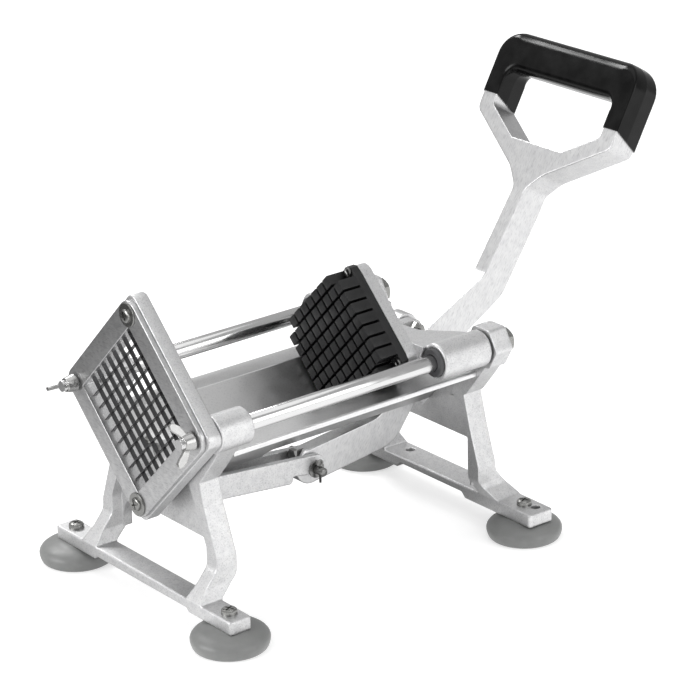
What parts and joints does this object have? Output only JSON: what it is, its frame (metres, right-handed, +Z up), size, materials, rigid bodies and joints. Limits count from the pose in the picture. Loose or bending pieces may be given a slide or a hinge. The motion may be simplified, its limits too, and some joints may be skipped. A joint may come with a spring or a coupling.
{
  "type": "french fry cutter",
  "caption": "Bench-top lever press that drives a toothed pusher block along two guide rods through a square blade grid, on two cast leg frames with suction feet.",
  "frame": {"origin": "on the bench plane, in the middle of the four suction cups", "axes": "+X from the blade grid to the handle, +Y across towards the left guide rod, +Z up from the bench"},
  "size_m": [0.4456, 0.2382, 0.3203],
  "materials": {
    "cast_aluminium": "cast and bead blasted",
    "brushed_cover": "ground and tumbled",
    "trough_sheet": "rolled sheet, matt",
    "polished_rod": "ground and chromed",
    "blade_steel": "ground",
    "zinc_hardware": "zinc plated",
    "bright_nut": "nickel plated",
    "pusher_plastic": "moulded, matt",
    "bush_plastic": "turned",
    "grip_plastic": "moulded, glossy",
    "cup_rubber": "moulded rubber"
  },
  "bodies": {
    "frame": {"front_leg_frame": "cast_aluminium", "rear_leg_frame": "cast_aluminium", "guide_rod_left": "polished_rod", "guide_rod_right": "polished_rod", "rod_end_nuts": "zinc_hardware", "trough": "trough_sheet", "trough_screws": "zinc_hardware", "blade_frame": "cast_aluminium", "blades_rising": "blade_steel", "blades_falling": "blade_steel", "blade_cover": "brushed_cover", "cover_screws": "zinc_hardware", "cover_washers": "zinc_hardware", "link_front_pin": "zinc_hardware", "front_pin_clips": "zinc_hardware", "suction_cup_front_left": "cup_rubber", "suction_cup_front_right": "cup_rubber", "suction_cup_rear_left": "cup_rubber", "suction_cup_rear_right": "cup_rubber", "cup_screws": "zinc_hardware"},
    "carriage": {"pusher_carriage": "cast_aluminium", "rod_bush_left": "bush_plastic", "rod_bush_right": "bush_plastic", "backing_plate": "cast_aluminium", "plate_screws": "zinc_hardware", "pusher_block": "pusher_plastic", "pusher_screws": "zinc_hardware", "lever_pin": "zinc_hardware", "lever_pin_nut": "zinc_hardware"},
    "lever": {"lever": "cast_aluminium", "grip_crossbar": "zinc_hardware", "hand_grip": "grip_plastic", "stop_screw": "zinc_hardware"},
    "link": {"link": "cast_aluminium", "link_end_pins": "zinc_hardware", "link_washers": "zinc_hardware", "split_pins": "zinc_hardware"},
    "wing_nut_left": {"wing_nut_left": "bright_nut"},
    "wing_nut_right": {"wing_nut_right": "bright_nut"}
  },
  "joints": [
    {"name": "pusher_slide", "type": "slide", "parent": "frame", "child": "carriage", "axis": [-1, 0, 0], "range_m": [0, 0.162]},
    {"name": "lever_pivot", "type": "hinge", "parent": "carriage", "child": "lever", "pos_m": [0.095, 0, 0.145], "axis": [0, -1, 0], "range_deg": [0, 82.35]},
    {"name": "link_pivot", "type": "hinge", "parent": "frame", "child": "link", "pos_m": [-0.097, 0, 0.0695], "axis": [0, 1, 0], "range_deg": [0, 9.71]},
    {"name": "wing_nut_left_spin", "type": "hinge", "parent": "frame", "child": "wing_nut_left", "pos_m": [-0.1412, 0.0693, 0.144], "axis": [1, 0, 0], "continuous": true},
    {"name": "wing_nut_right_spin", "type": "hinge", "parent": "frame", "child": "wing_nut_right", "pos_m": [-0.1412, -0.0693, 0.144], "axis": [1, 0, 0], "continuous": true}
  ],
  "couplings": [
    {"joint": "lever_pivot", "follows": "pusher_slide", "rad_per_m": 8.8721},
    {"joint": "link_pivot", "follows": "pusher_slide", "rad_per_m": 1.046}
  ]
}
